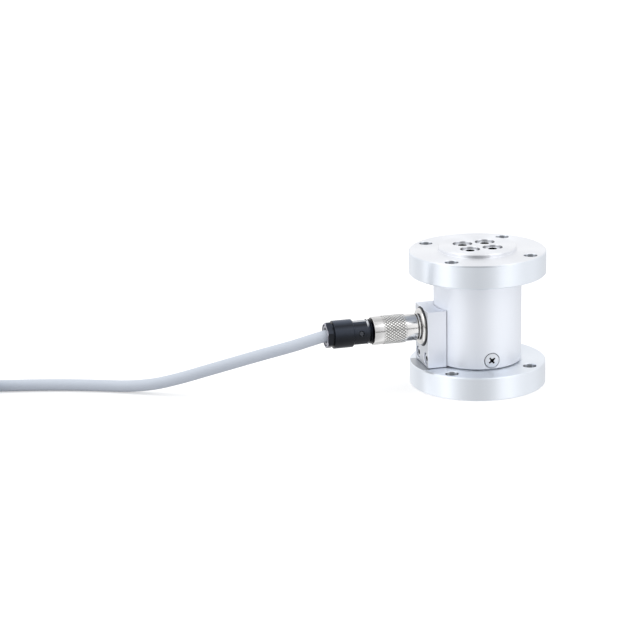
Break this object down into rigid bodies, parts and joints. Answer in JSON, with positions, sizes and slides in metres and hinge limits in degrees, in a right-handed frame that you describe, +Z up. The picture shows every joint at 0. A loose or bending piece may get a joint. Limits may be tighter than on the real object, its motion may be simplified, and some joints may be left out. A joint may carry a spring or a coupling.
{
  "type": "flange torque sensor",
  "caption": "Torque sensor with a bolt flange at each end of a round body, a side block with a push-pull connector, and a light grey cable in a tied coil.",
  "frame": {"origin": "centre of the flat base, on the sensor axis", "axes": "+Z up along the sensor axis from the lower flange to the upper flange; the connector points along -X"},
  "size_m": [0.3737, 0.1145, 0.072],
  "materials": {
    "flange_metal": "fine-turned, bright nickel plated",
    "cover_metal": "fine-turned, satin plated",
    "block_metal": "milled, satin plated",
    "shaft_steel": "ground alloy steel",
    "cap_screw_steel": "bright plated",
    "cover_screw_steel": "satin stainless",
    "block_screw_steel": "satin stainless",
    "connector_nickel": "polished nickel plate",
    "shell_black": "semi-matt black moulding",
    "washer_grey": "light grey moulding",
    "set_screw_dark": "black oxide",
    "contact_gold": "gold plated",
    "insert_black": "moulded insulator",
    "seal_rubber": "soft black rubber",
    "board_green": "printed circuit board",
    "gauge_foil": "foil gauge on film",
    "cable_sheath": "light grey sheath",
    "tie_black": "black nylon and heat shrink",
    "lead_red": "wire insulation",
    "lead_black": "wire insulation",
    "lead_green": "wire insulation",
    "lead_white": "wire insulation"
  },
  "bodies": {
    "sensor": {"lower_flange": "flange_metal", "upper_flange": "flange_metal", "cover_tube": "cover_metal", "connector_block": "block_metal", "sensing_element": "shaft_steel", "top_cap_screw_1": "cap_screw_steel", "top_cap_screw_2": "cap_screw_steel", "top_cap_screw_3": "cap_screw_steel", "top_cap_screw_4": "cap_screw_steel", "base_cap_screw_1": "cap_screw_steel", "base_cap_screw_2": "cap_screw_steel", "base_cap_screw_3": "cap_screw_steel", "base_cap_screw_4": "cap_screw_steel", "cover_screw_1": "cover_screw_steel", "cover_screw_2": "cover_screw_steel", "cover_screw_3": "cover_screw_steel", "block_screw_1": "block_screw_steel", "block_screw_2": "block_screw_steel", "receptacle_shell": "connector_nickel", "plug_body": "connector_nickel", "back_shell": "shell_black", "clamp_nut": "shell_black", "gland_washer": "washer_grey", "set_screw": "set_screw_dark", "contact_pin_1": "contact_gold", "contact_pin_2": "contact_gold", "contact_pin_3": "contact_gold", "contact_pin_4": "contact_gold", "receptacle_insert": "insert_black", "plug_insert": "insert_black", "lower_seal": "seal_rubber", "upper_seal": "seal_rubber", "cable_bush": "seal_rubber", "bridge_board": "board_green", "strain_gauge_1": "gauge_foil", "strain_gauge_2": "gauge_foil", "strain_gauge_3": "gauge_foil", "strain_gauge_4": "gauge_foil", "cable": "cable_sheath", "cable_coil": "cable_sheath", "cable_tail": "cable_sheath", "cable_root": "cable_sheath", "coil_tie": "tie_black", "end_sleeve": "tie_black", "end_lead_1": "lead_red", "signal_wire_1": "lead_red", "end_lead_2": "lead_black", "signal_wire_4": "lead_black", "end_lead_3": "lead_green", "signal_wire_2": "lead_green", "end_lead_4": "lead_white", "signal_wire_3": "lead_white"},
    "locking_sleeve": {"plug_sleeve": "connector_nickel"}
  },
  "joints": [
    {"name": "sleeve_slide", "type": "slide", "parent": "sensor", "child": "locking_sleeve", "axis": [-1, 0, 0], "range_m": [0, 0.002], "stiffness_N_per_m": 800, "springref_m": -0.003}
  ]
}
